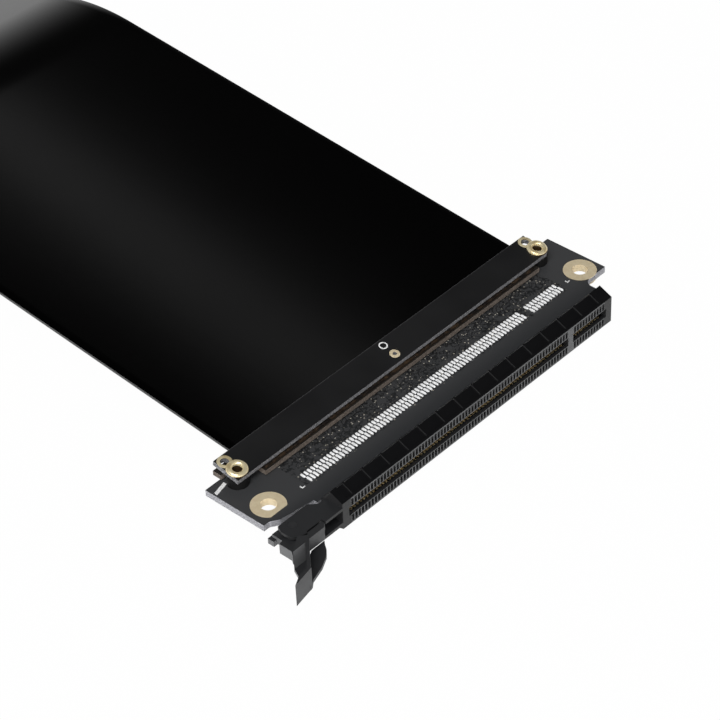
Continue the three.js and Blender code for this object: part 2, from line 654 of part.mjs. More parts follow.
// The ribbon's middle line in Y and Z: rise, crest, fall, dip, and a level end in the plug's clamp.
function ribbonWay() {
  const points = [[ribbonStartY, ribbonStartZ]];
  let angle = riseDeg;
  const run = (length) => {
    const [y, z] = points[points.length - 1];
    const slope = THREE.MathUtils.degToRad(angle);
    points.push([y + length * Math.cos(slope), z + length * Math.sin(slope)]);
  };
  const bend = (radius, toAngle) => {
    const steps = Math.ceil(Math.abs(toAngle - angle) / wayStepDeg);
    const step = (toAngle - angle) / steps;
    const chord = 2 * radius * Math.sin(THREE.MathUtils.degToRad(Math.abs(step) / 2));
    for (let k = 0; k < steps; k += 1) {
      angle += step / 2;
      run(chord);
      angle += step / 2;
    }
  };
  run(riseLength);
  bend(crestRadius, -fallDeg);
  const fall = THREE.MathUtils.degToRad(fallDeg);
  const dipDrop = dipRadius * (1 - Math.cos(fall));
  run((points[points.length - 1][1] - (plugTopZ + plugRibbonZ) - dipDrop) / Math.sin(fall));
  bend(dipRadius, 0);
  run(lowerStripBackY + levelMargin - ribbonStartY);
  return points;
}

const way = ribbonWay();
const plugY = way[way.length - 1][0] + ribbonStartY;

function ribbon() {
  return alongX(bentStrip(way, ribbonThickness), ribbonLeftX, ribbonRightX);
}

// The plug board: a body for the clamp, and a tongue with a key notch that goes into a card slot.
function plugBoard() {
  const tongueHalf = fieldHalf + tongueMargin;
  const shoulderY = plugY + plugBodyFront;
  const endY = shoulderY + tongueDepth;
  const outline = [
    [-plugHalfWidth, plugY - boardBackY], [plugHalfWidth, plugY - boardBackY], [plugHalfWidth, shoulderY],
    [tongueHalf, shoulderY], [tongueHalf, endY - tongueChamfer], [tongueHalf - tongueChamfer, endY],
    [keyX + keyNotchWidth / 2, endY], [keyX + keyNotchWidth / 2, shoulderY],
    [keyX - keyNotchWidth / 2, shoulderY], [keyX - keyNotchWidth / 2, endY],
    [-tongueHalf + tongueChamfer, endY], [-tongueHalf, endY - tongueChamfer], [-tongueHalf, shoulderY],
    [-plugHalfWidth, shoulderY],
  ];
  const underZ = plugTopZ - boardThickness;
  const hole = (x) => post(eyeletBarrelRadius + eyeletClearance, underZ - 1, plugTopZ + 1, x, plugY - eyeletY);
  return raised(outline, underZ, plugTopZ).subtract(hole(plugEyeletLeftX)).subtract(hole(plugEyeletRightX));
}

const riser = new THREE.Group();
riser.position.set(0, -restFaceY, -floorZ);
riser.add(
  piece('slot_housing', slotHousing(), looks.housing),
  piece('upper_contacts', upperContacts(), looks.contact),
  piece('lower_contacts', lowerContacts(), looks.contact),
  piece('latch_lever', latchLever(), looks.housing),
  piece('slot_board', slotBoard(), looks.board),
  piece('left_mount_plating', mountPlating(mountLeftX, true), looks.plating),
  piece('right_mount_plating', mountPlating(mountRightX, false), looks.plating),
  clamp('slot', coverTiltDeg, coverFrontZ),
  piece('ribbon', ribbon(), looks.ribbon),
  piece('plug_board', plugBoard(), looks.board),
);

const plugClamp = clamp('plug', 0, plugCoverFrontZ);
plugClamp.rotation.z = Math.PI;
plugClamp.position.set(2 * ribbonCentreX, plugY, plugTopZ);
riser.add(plugClamp);

export default riser;
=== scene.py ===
import bpy
import bmesh
import json
import math
from mathutils import Matrix, Vector


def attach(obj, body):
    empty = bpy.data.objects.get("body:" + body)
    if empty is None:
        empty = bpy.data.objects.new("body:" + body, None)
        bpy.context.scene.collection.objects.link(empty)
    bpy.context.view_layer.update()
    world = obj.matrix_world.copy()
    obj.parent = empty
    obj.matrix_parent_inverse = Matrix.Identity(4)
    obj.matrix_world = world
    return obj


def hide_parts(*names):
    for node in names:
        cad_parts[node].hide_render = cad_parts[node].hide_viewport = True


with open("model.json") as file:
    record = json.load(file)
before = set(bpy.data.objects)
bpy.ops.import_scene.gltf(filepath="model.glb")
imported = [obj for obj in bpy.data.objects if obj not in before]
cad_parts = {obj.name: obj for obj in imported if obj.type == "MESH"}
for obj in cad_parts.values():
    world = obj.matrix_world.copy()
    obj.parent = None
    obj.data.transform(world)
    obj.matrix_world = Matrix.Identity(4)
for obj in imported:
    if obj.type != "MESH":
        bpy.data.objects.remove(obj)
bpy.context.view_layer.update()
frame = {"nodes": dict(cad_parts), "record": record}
nodes = frame["nodes"]
mm = 0.001
print("loaded", len(nodes), "solids")


# shader wiring: a socket that takes part in Python expressions
class Wire:
    def __init__(self, shade, socket):
        self.shade = shade
        self.socket = socket

    def __add__(self, other):
        return self.shade.math("ADD", self, other)

    def __radd__(self, other):
        return self.shade.math("ADD", other, self)

    def __sub__(self, other):
        return self.shade.math("SUBTRACT", self, other)

    def __rsub__(self, other):
        return self.shade.math("SUBTRACT", other, self)

    def __mul__(self, other):
        return self.shade.math("MULTIPLY", self, other)

    def __rmul__(self, other):
        return self.shade.math("MULTIPLY", other, self)

    def __truediv__(self, other):
        return self.shade.math("DIVIDE", self, other)

    def __rtruediv__(self, other):
        return self.shade.math("DIVIDE", other, self)

    def __gt__(self, other):
        return self.shade.math("GREATER_THAN", self, other)

    def __lt__(self, other):
        return self.shade.math("LESS_THAN", self, other)

    def __abs__(self):
        return self.shade.math("ABSOLUTE", self)


class Shade:
    def __init__(self, tree):
        self.tree = tree
        self.tree.nodes.clear()

    def node(self, kind, settings=None, inputs=None, out=0):
        made = self.tree.nodes.new(kind)
        for key, value in (settings or {}).items():
            setattr(made, key, value)
        for key, value in (inputs or {}).items():
            if isinstance(key, int):
                socket = made.inputs[key]
            else:
                socket = next(s for s in made.inputs if s.enabled and s.name == key)
            if isinstance(value, Wire):
                self.tree.links.new(value.socket, socket)
            elif socket.type == "RGBA":
                socket.default_value = (*value[:3], 1.0)
            else:
                socket.default_value = value
        shown = [s for s in made.outputs if s.enabled]
        if not shown:
            return made
        picked = shown[out] if isinstance(out, int) else next(s for s in shown if s.name == out)
        return Wire(self, picked)

    def math(self, operation, *values):
        return self.node("ShaderNodeMath", {"operation": operation}, dict(enumerate(values)))

    def mix(self, factor, first, second):
        inputs = {"Factor": factor, "A": first, "B": second}
        return self.node("ShaderNodeMix", {"data_type": "RGBA"}, inputs)

    def place(self):
        return self.node("ShaderNodeTexCoord", out="Object")

    # one component of a vector: "X", "Y" or "Z"
    def along(self, axis, vector):
        return self.node("ShaderNodeSeparateXYZ", None, {"Vector": vector}, axis)

    def normal(self):
        geometry = self.node("ShaderNodeNewGeometry", out="Normal")
        settings = {"vector_type": "NORMAL", "convert_from": "WORLD", "convert_to": "OBJECT"}
        return self.node("ShaderNodeVectorTransform", settings, {"Vector": geometry})

    def noise(self, scale, detail=2.0, roughness=0.5, vector=None):
        inputs = {"Scale": scale, "Detail": detail, "Roughness": roughness}
        inputs["Vector"] = vector if vector is not None else self.place()
        return self.node("ShaderNodeTexNoise", None, inputs)

    def stretched(self, factors):
        settings = {"operation": "MULTIPLY"}
        return self.node("ShaderNodeVectorMath", settings, {0: self.place(), 1: factors})

    def clamped(self, value, low=0.0, high=1.0, toLow=0.0, toHigh=1.0):
        settings = {"interpolation_type": "SMOOTHSTEP"}
        names = ("Value", "From Min", "From Max", "To Min", "To Max")
        return self.node("ShaderNodeMapRange", settings, dict(zip(names, (value, low, high, toLow, toHigh))))

    def between(self, value, low, high, soft):
        rising = self.clamped(value, low - soft, low + soft)
        falling = self.clamped(value, high - soft, high + soft)
        return rising * (1 - falling)

    def bump(self, height, strength, distance, normal=None):
        inputs = {"Height": height, "Strength": strength, "Distance": distance}
        if normal is not None:
            inputs["Normal"] = normal
        return self.node("ShaderNodeBump", None, inputs)


def finish(name, draw, constants=None):
    material = bpy.data.materials.new(name)
    material.use_nodes = True
    shade = Shade(material.node_tree)
    values = draw(shade)
    values.update(constants or {})
    surface = shade.node("ShaderNodeBsdfPrincipled", None, values)
    shade.node("ShaderNodeOutputMaterial", None, {"Surface": surface})
    return material


# camera: the photograph's viewing angle
view = {
    "place": (-0.31946, -0.28216, 0.36276),
    "right": (0.6712, -0.7403, -0.0384),
    "up": (0.4896, 0.4038, 0.7728),
    "back": (-0.5566, -0.5375, 0.6335),
    "lens": 128.607,
    "sensor": 36.0,
    "nearest": 0.01,
    "farthest": 20.0,
}


def makeCamera():
    data = bpy.data.cameras.new("camera")
    data.lens = view["lens"]
    data.sensor_width = view["sensor"]
    data.sensor_fit = "HORIZONTAL"
    data.clip_start = view["nearest"]
    data.clip_end = view["farthest"]
    camera = bpy.data.objects.new("camera", data)
    bpy.context.scene.collection.objects.link(camera)
    turn = Matrix((view["right"], view["up"], view["back"])).transposed()
    camera.matrix_world = Matrix.Translation(view["place"]) @ turn.to_4x4()
    bpy.context.scene.camera = camera


makeCamera()


# studio: white all round, dim overhead so that upward faces stay dark
studio = {
    "horizon": 1.0,
    "overhead": 0.04,
    "dimFrom": 0.02,
    "dimTo": 0.5,
    "floorHalf": 6.0,
    "floorDrop": 0.0002,
    "floorDiffuse": 0.8,
    "floorGlow": 0.985,
}
lamps = {
    "frontSoftbox": {"place": (-1.1, -1.5, 0.55), "aim": (0, 0, 0), "size": (1.2, 0.8), "power": 14},
    "keySoftbox": {"place": (-0.9, -0.4, 1.5), "aim": (0, 0.05, 0), "size": (1.0, 1.0), "power": 26},
    # a narrow box past the plug's end, aimed straight down: its reflection is the light band on the ribbon
    "bandSoftbox": {"place": (0.672, 0.8, 0.93), "aim": (0.672, 0.8, 0.0), "size": (0.06, 1.0), "power": 0.2},
}
bpy.context.scene.view_settings.view_transform = "Standard"


def makeWorld():
    world = bpy.data.worlds.new("studio")
    world.use_nodes = True
    bpy.context.scene.world = world
    shade = Shade(world.node_tree)
    up = shade.along("Z", shade.node("ShaderNodeTexCoord", out="Generated"))
    level = shade.clamped(up, studio["dimFrom"], studio["dimTo"], studio["horizon"], studio["overhead"])
    lit = shade.node("ShaderNodeBackground", None, {"Color": (1, 1, 1), "Strength": level})
    white = shade.node("ShaderNodeBackground", None, {"Color": (1, 1, 1), "Strength": 1.0})
    seen = shade.node("ShaderNodeLightPath", out="Is Camera Ray")
    both = shade.node("ShaderNodeMixShader", None, {0: seen, 1: lit, 2: white})
    shade.node("ShaderNodeOutputWorld", None, {"Surface": both})


def makeFloor():
    half = studio["floorHalf"]
    mesh = bpy.data.meshes.new("floor")
    corners = [(-half, -half, 0), (half, -half, 0), (half, half, 0), (-half, half, 0)]
    mesh.from_pydata(corners, [], [(0, 1, 2, 3)])
    floor = bpy.data.objects.new("floor", mesh)
    bpy.context.scene.collection.objects.link(floor)
    floor.location.z = -studio["floorDrop"]
    material = bpy.data.materials.new("paleFloor")
    material.use_nodes = True
    shade = Shade(material.node_tree)
    tone = studio["floorDiffuse"]
    matte = shade.node("ShaderNodeBsdfDiffuse", None, {"Color": (tone, tone, tone)})
    white = shade.node("ShaderNodeEmission", None, {"Color": (1, 1, 1), "Strength": 1.0})
    camera = shade.node("ShaderNodeLightPath", out="Is Camera Ray")
    glossy = shade.node("ShaderNodeLightPath", out="Is Glossy Ray")
    through = shade.node("ShaderNodeLightPath", out="Is Transmission Ray")
    bright = shade.math("MAXIMUM", camera, shade.math("MAXIMUM", glossy, through))
    both = shade.node("ShaderNodeMixShader", None, {0: bright * studio["floorGlow"], 1: matte, 2: white})
    below = shade.node("ShaderNodeNewGeometry", out="Backfacing")
    clear = shade.node("ShaderNodeBsdfTransparent")
    oneSided = shade.node("ShaderNodeMixShader", None, {0: below, 1: both, 2: clear})
    shade.node("ShaderNodeOutputMaterial", None, {"Surface": oneSided})
    mesh.materials.append(material)


def makeLamp(name, setting):
    data = bpy.data.lights.new(name, "AREA")
    data.shape = "RECTANGLE"
    data.size, data.size_y = setting["size"]
    data.energy = setting["power"]
    lamp = bpy.data.objects.new(name, data)
    bpy.context.scene.collection.objects.link(lamp)
    lamp.location = setting["place"]
    lamp.rotation_mode = "QUATERNION"
    away = Vector(setting["aim"]) - Vector(setting["place"])
    lamp.rotation_quaternion = away.to_track_quat("-Z", "Y")


makeWorld()
makeFloor()
for name, setting in lamps.items():
    makeLamp(name, setting)
print("studio ready")


# finishes
board = {
    "mask": (0.041, 0.042, 0.044),
    # painted shade: the mask is darker next to the housing
    "maskPaintedShade": (0.022, 0.0235, 0.026),
    "maskDeep": (0.010, 0.011, 0.012),
    "speck": (0.42, 0.39, 0.33),
    "edge": (0.44, 0.44, 0.47),
    "edgeDark": (0.28, 0.28, 0.30),
    "coverEdge": (0.30, 0.30, 0.315),
    "coverEdgeDark": (0.11, 0.11, 0.115),
    "cover": (0.006, 0.006, 0.0065),
    "coverWorn": (0.010, 0.010, 0.0105),
    "roughness": 0.42,
    # painted highlight: a light line along the cover's back edge
    "backEdgeHighlight": (0.06, 0.06, 0.062),
    "backLineFromY": 18.12 * mm, "backLineToY": 18.26 * mm,
}
# where the fine lines and specks of the two boards lie
boardPlan = {
    "tracesFromY": 1.4 * mm, "tracesToY": 10.6 * mm,
    "plugFromY": 227.6 * mm, "plugToY": 237.4 * mm,
    "halfWidth": 43 * mm, "soft": 0.3 * mm,
    # painted shade: where the mask darkens towards the housing
    "shadeFromY": -4 * mm, "shadeToY": 2.5 * mm,  # the mask darkens towards the housing
    "lineEvery": 0.5 * mm, "specksPerMetre": 1250.0,
}


def drawBoard(shade):
    x = shade.along("X", shade.place())
    y = shade.along("Y", shade.place())
    flat = abs(shade.along("Z", shade.normal())) > 0.6
    wander = shade.noise(220.0, 2.0) * 1.2 * mm
    phase = (x + wander) / boardPlan["lineEvery"]
    straight = shade.clamped(shade.math("PINGPONG", phase, 0.5), 0.3, 0.4)
    contour = abs(shade.noise(900.0, 1.0, 0.4) - 0.5)
    line = shade.math("MAXIMUM", straight * 0.4, 1 - shade.clamped(contour, 0.04, 0.08))
    atSlot = shade.between(y, boardPlan["tracesFromY"], boardPlan["tracesToY"], boardPlan["soft"])
    atPlug = shade.between(y, boardPlan["plugFromY"], boardPlan["plugToY"], boardPlan["soft"])
    inField = abs(x) < boardPlan["halfWidth"]
    patch = shade.clamped(shade.noise(300.0, 2.0, 0.6), 0.36, 0.44)
    field = (atSlot + atPlug) * inField
    copper = line * field * patch
    cells = {"Scale": boardPlan["specksPerMetre"], "Vector": shade.place()}
    dots = shade.node("ShaderNodeTexVoronoi", None, cells, "Distance")
    sparse = shade.clamped(shade.noise(700.0, 2.0), 0.46, 0.52)
    speck = (1 - shade.clamped(dots, 0.14, 0.26)) * field * sparse
    weave = shade.noise(5200.0, 1.0)
    # painted shade: the mask darkens towards the housing
    away = shade.clamped(y, boardPlan["shadeFromY"], boardPlan["shadeToY"])
    mask = shade.mix(away, board["maskPaintedShade"], board["mask"])
    base = shade.mix(copper, mask, board["maskDeep"])
    base = shade.mix(speck, base, board["speck"])
    fibre = shade.clamped(shade.noise(2600.0, 3.0), 0.3, 0.7)
    cut = shade.mix(fibre, board["edge"], board["edgeDark"])
    colour = shade.mix(flat, cut, base)
    normal = shade.bump(copper, 0.5, 0.05 * mm, shade.bump(weave, 0.12, 0.02 * mm))
    rough = board["roughness"] - copper * 0.14 + (1 - flat) * 0.35
    return {"Base Color": colour, "Roughness": rough, "Normal": normal}


def drawCover(shade):
    flat = shade.clamped(abs(shade.along("Z", shade.normal())), 0.6, 0.8)
    fibre = shade.clamped(shade.noise(2600.0, 3.0), 0.3, 0.7)
    weave = shade.noise(5200.0, 1.0)
    worn = shade.clamped(shade.noise(70.0, 2.0), 0.3, 0.7)
    top = shade.mix(worn, board["cover"], board["coverWorn"])
    y = shade.along("Y", shade.place())
    # painted highlight along the cover's back edge
    backEdgeHighlight = shade.between(y, board["backLineFromY"], board["backLineToY"], 0.04 * mm)
    top = shade.mix(backEdgeHighlight, top, board["backEdgeHighlight"])
    cut = shade.mix(fibre, board["coverEdge"], board["coverEdgeDark"])
    return {
        "Base Color": shade.mix(flat, cut, top),
        "Roughness": 0.75 - flat * 0.35,
        "Normal": shade.bump(weave, 0.1, 0.02 * mm),
    }


lowerStrip = {
    "edge": (0.19, 0.155, 0.13),
    "edgeDark": (0.09, 0.072, 0.058),
    "top": (0.018, 0.014, 0.010),
    "topDark": (0.010, 0.009, 0.008),
}


def drawLowerStrip(shade):
    flat = shade.clamped(abs(shade.along("Z", shade.normal())), 0.6, 0.8)
    fibre = shade.clamped(shade.noise(2600.0, 3.0), 0.3, 0.7)
    cut = shade.mix(fibre, lowerStrip["edge"], lowerStrip["edgeDark"])
    top = shade.mix(fibre, lowerStrip["top"], lowerStrip["topDark"])
    return {
        "Base Color": shade.mix(flat, cut, top),
        "Roughness": 0.7 - flat * 0.3,
        "Normal": shade.bump(fibre, 0.1, 0.02 * mm),
    }


# painted light: the one black plastic is coloured by which way a face looks, lighter on upright faces,
# lightest on the comb's front, and lighter on level tops than on sloped panels
housing = {
    "face": (0.0022, 0.0022, 0.0027),
    "side": (0.10, 0.102, 0.105),
    "sidewaysPaintedLight": (0.02, 0.02, 0.021),
    "plain": (0.016, 0.0165, 0.017),
    "level": (0.019, 0.0195, 0.021),
    "combHalf": 41.95 * mm,
    "roughness": 0.3,
    "cell": (0.001, 0.001, 0.001),
    "pitch": 1.0 * mm, "ribHalf": 0.15,
    "keyX": 30.0 * mm, "keyHalf": 1.0 * mm,
    "upperFrom": 5.87 * mm, "upperTo": 7.62 * mm,
    "lowerFrom": 1.55 * mm, "lowerTo": 3.33 * mm,
    "cellSoft": 0.02 * mm,
}


def drawMoulded(shade):
    x = shade.along("X", shade.place())
    z = shade.along("Z", shade.place())
    # painted light: upright faces get lighter colours than faces that look up, the comb's front faces the
    # lightest
    facingUp = shade.along("Z", shade.normal())
    upright = 1 - shade.clamped(abs(facingUp), 0.25, 0.6)
    ahead = shade.clamped(-1 * shade.along("Y", shade.normal()), 0.6, 0.85)
    inComb = abs(x) < housing["combHalf"]
    grain = shade.noise(3400.0, 3.0, 0.6)
    flow = shade.clamped(shade.noise(90.0, 2.0), 0.35, 0.65)
    comb = inComb * ahead * (0.75 + flow * 0.25)
    sidewaysPaintedLight = shade.mix(ahead, housing["sidewaysPaintedLight"], housing["plain"])
    side = shade.mix(comb, sidewaysPaintedLight, housing["side"])
    # each cell's shadow reaches past its opening, up to the rim and down to the rail
    across = shade.math("PINGPONG", x / housing["pitch"], 0.5) > housing["ribHalf"]
    offKey = abs(x - housing["keyX"]) > housing["keyHalf"]
    upper = shade.between(z, housing["upperFrom"], housing["upperTo"], housing["cellSoft"])
    lower = shade.between(z, housing["lowerFrom"], housing["lowerTo"], housing["cellSoft"])
    cells = inComb * (ahead > 0.5) * across * offKey * (upper + lower)
    side = shade.mix(cells, side, housing["cell"])
    # painted light: level tops are lighter than the sloped panels
    level = shade.clamped(facingUp, 0.975, 0.995)
    colour = shade.mix(upright, shade.mix(level, housing["face"], housing["level"]), side)
    rough = housing["roughness"] + grain * 0.14 + upright * 0.12
    return {"Base Color": colour, "Metallic": cells, "Roughness": rough,
            "Normal": shade.bump(grain, 0.18, 0.03 * mm)}


# painted light: the lever's upright faces are lighter than its tops, faces looking left lighter still, and a
# recessed wall that the tab shades is painted light
lever = {
    "top": (0.020, 0.0205, 0.022),
    "side": (0.052, 0.053, 0.055),
    "sideDark": (0.040, 0.041, 0.043),
    "leftPaintedLight": (0.13, 0.132, 0.135),
    "recessPaintedLight": (0.15, 0.152, 0.156),
    "recessFromX": -60.8 * mm, "recessToX": -57.2 * mm, "recessFromY": -11.4 * mm,
}


def drawLever(shade):
    upright = 1 - shade.clamped(abs(shade.along("Z", shade.normal())), 0.25, 0.6)
    leftward = shade.clamped(-1 * shade.along("X", shade.normal()), 0.55, 0.85)
    grain = shade.noise(3400.0, 3.0, 0.6)
    flow = shade.clamped(shade.noise(180.0, 2.0), 0.35, 0.65)
    side = shade.mix(flow, lever["side"], lever["sideDark"])
    # painted light: faces that look left are lighter
    side = shade.mix(leftward, side, lever["leftPaintedLight"])
    x = shade.along("X", shade.place())
    y = shade.along("Y", shade.place())
    # painted light on the recessed wall that the lever's tab shades
    recessPaintedLight = shade.between(x, lever["recessFromX"], lever["recessToX"], 0.5 * mm)
    side = shade.mix(recessPaintedLight * (y > lever["recessFromY"]), side, lever["recessPaintedLight"])
    colour = shade.mix(upright, lever["top"], side)
    rough = housing["roughness"] + grain * 0.14 + upright * 0.12
    return {"Base Color": colour, "Roughness": rough, "Normal": shade.bump(grain, 0.18, 0.03 * mm)}


metal = {
    "gold": (0.94, 0.80, 0.50), "goldDeep": (0.80, 0.62, 0.33),
    "pale": (0.90, 0.77, 0.53), "paleDeep": (0.84, 0.70, 0.46),
    "brass": (0.88, 0.77, 0.50), "brassWorn": (0.70, 0.57, 0.32), "brassShadow": (0.09, 0.055, 0.025),
    "tin": (1.0, 1.0, 1.0), "tinDull": (0.93, 0.94, 0.95),
    "lacquer": (0.006, 0.004, 0.003), "copper": (0.045, 0.026, 0.012),
    "plugFromY": 100 * mm, "slotRimZ": 9.25 * mm, "plugRimZ": 5.7 * mm,  # an eyelet is dark below its rim
}


def drawGold(shade):
    mottle = shade.noise(900.0, 3.0, 0.6)
    colour = shade.mix(mottle, metal["gold"], metal["goldDeep"])
    return {"Base Color": colour, "Metallic": 0.65, "Roughness": 0.24 + mottle * 0.18,
            "Normal": shade.bump(mottle, 0.1, 0.02 * mm)}


def drawPalePlate(shade):
    mottle = shade.noise(700.0, 3.0, 0.6)
    colour = shade.mix(shade.clamped(mottle, 0.35, 0.65), metal["pale"], metal["paleDeep"])
    return {"Base Color": colour, "Metallic": 0.4, "Roughness": 0.36 + mottle * 0.12,
            "Normal": shade.bump(mottle, 0.12, 0.03 * mm)}


def drawBrass(shade):
    mottle = shade.noise(1100.0, 3.0, 0.6)
    worn = shade.clamped(shade.noise(420.0, 2.0), 0.45, 0.6)
    colour = shade.mix(worn, metal["brass"], metal["brassWorn"])
    y = shade.along("Y", shade.place())
    z = shade.along("Z", shade.place())
    inSlot = (y < metal["plugFromY"]) * (z < metal["slotRimZ"])
    inPlug = (y > metal["plugFromY"]) * (z < metal["plugRimZ"])
    colour = shade.mix(inSlot + inPlug, colour, metal["brassShadow"])
    return {"Base Color": colour, "Metallic": 0.55, "Roughness": 0.26 + mottle * 0.18,
            "Normal": shade.bump(mottle, 0.15, 0.03 * mm)}


def drawTin(shade):
    grain = shade.noise(2400.0, 3.0, 0.6)
    colour = shade.mix(grain, metal["tin"], metal["tinDull"])
    return {"Base Color": colour, "Metallic": 0.05, "Roughness": 0.28 + grain * 0.2,
            "Normal": shade.bump(grain, 0.2, 0.02 * mm)}


small = {
    "printWorn": (0.42, 0.42, 0.42), "print": (0.82, 0.82, 0.82),
    "spacerDark": (0.002, 0.002, 0.002), "spacer": (0.006, 0.006, 0.006),
    "padDark": (0.006, 0.006, 0.006), "pad": (0.03, 0.03, 0.03),
}


def drawPrint(shade):
    wear = shade.clamped(shade.noise(2600.0, 3.0, 0.6), 0.3, 0.5)
    colour = shade.mix(wear, small["printWorn"], small["print"])
    return {"Base Color": colour, "Roughness": 0.6 + wear * 0.1}


def drawSpacer(shade):
    grain = shade.noise(2600.0, 3.0, 0.6)
    colour = shade.mix(grain, small["spacerDark"], small["spacer"])
    return {"Base Color": colour, "Roughness": 0.5 + grain * 0.2, "Normal": shade.bump(grain, 0.2, 0.03 * mm)}


def drawPad(shade):
    pores = shade.noise(5200.0, 4.0, 0.7)
    colour = shade.mix(pores, small["padDark"], small["pad"])
    return {"Base Color": colour, "Roughness": 0.8 + pores * 0.15,
            "Normal": shade.bump(pores, 0.5, 0.06 * mm)}


def drawConductor(shade):
    tone = shade.noise(600.0, 3.0, 0.6)
    colour = shade.mix(shade.clamped(tone, 0.4, 0.7), metal["lacquer"], metal["copper"])
    return {"Base Color": colour, "Metallic": 0.2, "Roughness": 0.35 + tone * 0.2,
            "Normal": shade.bump(tone, 0.2, 0.03 * mm)}


ribbonLook = {
    "face": (0.0001, 0.0001, 0.00012),
    "faceWide": (0.0003, 0.00025, 0.0003),
    # painted highlight: the ribbon's side edges are light grey
    "edge": (0.07, 0.07, 0.07),
    "roughness": 0.1,
}


def drawRibbon(shade):
    wide = shade.noise(26.0, 2.0)
    fine = shade.noise(4200.0, 2.0)
    lie = shade.stretched((1.0, 0.06, 0.06))
    lengthwise = shade.noise(240.0, 2.0, 0.5, lie)
    # painted highlight on the ribbon's side edges
    rim = shade.clamped(abs(shade.along("X", shade.normal())), 0.6, 0.9)
    colour = shade.mix(wide, ribbonLook["face"], ribbonLook["faceWide"])
    colour = shade.mix(rim, colour, ribbonLook["edge"])
    rough = ribbonLook["roughness"] + wide * 0.03 + fine * 0.03
    normal = shade.bump(lengthwise, 0.03, 0.08 * mm, shade.bump(fine, 0.05, 0.01 * mm))
    return {"Base Color": colour, "Roughness": rough, "Normal": normal}


looks = {
    "board": finish("solderMask", drawBoard),
    "cover": finish("coverMask", drawCover, {"IOR": 1.42}),
    "lowerStrip": finish("lowerStripMask", drawLowerStrip),
    "housing": finish("mouldedBlack", drawMoulded, {"IOR": 1.42}),
    "lever": finish("leverBlack", drawLever, {"IOR": 1.5}),
    "contact": finish("contactGold", drawGold),
    "plating": finish("palePlate", drawPalePlate),
    "brass": finish("agedBrass", drawBrass),
    "tin": finish("solderTin", drawTin),
    "spacer": finish("blackSpacer", drawSpacer, {"IOR": 1.3}),
    "pad": finish("foamTape", drawPad),
    "copper": finish("lacqueredCopper", drawConductor),
    "print": finish("whitePrint", drawPrint),
    "ribbon": finish("ribbonJacket", drawRibbon, {"IOR": 1.24}),
}
slotOf = {row["node"]: row["material_slot"] for row in frame["record"]["subparts"]}
for name, part in nodes.items():
    part.data.materials.clear()
    look = slotOf[name]
    if name.endswith("cover_strip"):
        look = "cover"
    if name.endswith("lower_strip"):
        look = "lowerStrip"
    if name == "latch_lever":
        look = "lever"
    part.data.materials.append(looks[look])
print("finishes ready")


# mesh helpers
def addPiece(name, mesh, look, body="riser", smooth=None):
    obj = bpy.data.objects.new(name, mesh)
    bpy.context.scene.collection.objects.link(obj)
    mesh.materials.append(looks[look])
    if smooth is not None:
        for face in mesh.polygons:
            face.use_smooth = True
        mesh.set_sharp_from_angle(angle=math.radians(smooth))
    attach(obj, body)
    return obj


def meshOf(name, build):
    shape = bmesh.new()
    build(shape)
    bmesh.ops.recalc_face_normals(shape, faces=shape.faces)
    mesh = bpy.data.meshes.new(name)
    shape.to_mesh(mesh)
    shape.free()
    return mesh


# the ribbon: one smooth sheet along its way
ribbonSize = {
    "left": -47.7 * mm, "right": 44.1 * mm, "thickness": 0.8 * mm,
    "startY": 15.0 * mm, "startZ": 7.94 * mm,
    "riseDeg": 5.4, "riseLength": 129.0 * mm, "crestRadius": 70.0 * mm,
    "fallDeg": 20.0, "dipRadius": 60.0 * mm, "endZ": 4.0 * mm, "levelRun": 4.8 * mm,
    "stepDeg": 1.0, "across": 46, "along": 24, "fallPieces": 4,
    "cornerShare": 0.36, "cornerCut": 0.3,  # of half the thickness, and of the corner
}


def ribbonWay():
    s = ribbonSize
    points = [(s["startY"], s["startZ"])]
    heading = [s["riseDeg"]]

    def run(length, pieces=1):
        for _ in range(pieces):
            y, z = points[-1]
            slope = math.radians(heading[0])
            step = length / pieces
            points.append((y + step * math.cos(slope), z + step * math.sin(slope)))

    def bend(radius, toDeg):
        steps = math.ceil(abs(toDeg - heading[0]) / s["stepDeg"])
        turn = (toDeg - heading[0]) / steps
        chord = 2 * radius * math.sin(math.radians(abs(turn)) / 2)
        for _ in range(steps):
            heading[0] += turn / 2
            run(chord)
            heading[0] += turn / 2

    run(s["riseLength"], s["along"])
    bend(s["crestRadius"], -s["fallDeg"])
    fall = math.radians(s["fallDeg"])
    dipDrop = s["dipRadius"] * (1 - math.cos(fall))
    run((points[-1][1] - s["endZ"] - dipDrop) / math.sin(fall), s["fallPieces"])
    bend(s["dipRadius"], 0.0)
    run(s["levelRun"])
    return points


